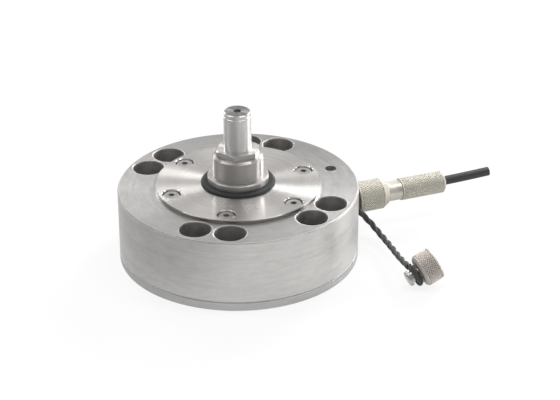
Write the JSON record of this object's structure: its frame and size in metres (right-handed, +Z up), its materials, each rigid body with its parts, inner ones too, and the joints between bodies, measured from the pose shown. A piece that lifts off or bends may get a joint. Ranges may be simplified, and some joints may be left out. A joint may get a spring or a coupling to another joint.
{
  "type": "low-profile load cell",
  "caption": "Round low-profile load cell: steel drum with counterbored mounting holes, sealed cover, threaded-in load stem, side plug with cable stub and a dust cap on a lanyard.",
  "frame": {"origin": "centre of the underside of the base plate, on the axis of the drum and the stem", "axes": "+Z up the load stem, +X out along the side plug"},
  "size_m": [0.1747, 0.1169, 0.0682],
  "materials": {
    "drum_steel": "fine turned stainless steel",
    "plate_steel": "fine turned stainless steel",
    "cover_steel": "face-turned stainless steel",
    "stem_steel": "bright turned stainless steel",
    "screw_steel": "plain stainless steel",
    "rivet_steel": "satin",
    "seal_rubber": "matte black",
    "gauge_film": "amber film",
    "board_laminate": "green laminate",
    "chip_ceramic": "matte",
    "lead_insulation": "matte",
    "nickel_plate": "satin nickel-plated brass",
    "insulator": "matte black",
    "contact_gold": "gold plated",
    "cable_jacket": "matte black jacket",
    "lanyard_cord": "laid black cord"
  },
  "bodies": {
    "cell": {"sensing_body": "drum_steel", "base_plate": "plate_steel", "base_seal": "seal_rubber", "base_screws": "screw_steel", "top_cover": "cover_steel", "cover_gasket": "seal_rubber", "cover_screws": "screw_steel", "stem_seal": "seal_rubber", "load_stem": "stem_steel", "strain_gauges": "gauge_film", "bridge_board": "board_laminate", "bridge_resistors": "chip_ceramic", "signal_leads": "lead_insulation", "receptacle_shell": "nickel_plate", "receptacle_seal": "seal_rubber", "receptacle_insert": "insulator", "receptacle_pins": "contact_gold", "lock_screw": "screw_steel", "plug_body": "nickel_plate", "plug_insert": "insulator", "plug_contacts": "contact_gold", "plug_leads": "lead_insulation", "cable_clamp": "nickel_plate", "cable_grommet": "seal_rubber", "back_shell": "nickel_plate", "signal_cable": "cable_jacket", "cap_lanyard": "lanyard_cord"},
    "coupling": {"coupling_nut": "nickel_plate"},
    "cap": {"dust_cap": "nickel_plate", "cap_pad": "seal_rubber", "cap_rivet": "rivet_steel"}
  },
  "joints": [
    {"name": "coupling_turn", "type": "hinge", "parent": "cell", "child": "coupling", "pos_m": [0.0632, 0, 0.0154], "axis": [1, 0, 0], "continuous": true},
    {"name": "cap_swivel", "type": "hinge", "parent": "cell", "child": "cap", "pos_m": [0.0609, -0.0572, 0.00617], "axis": [0.9135, 0, 0.4067], "continuous": true}
  ]
}
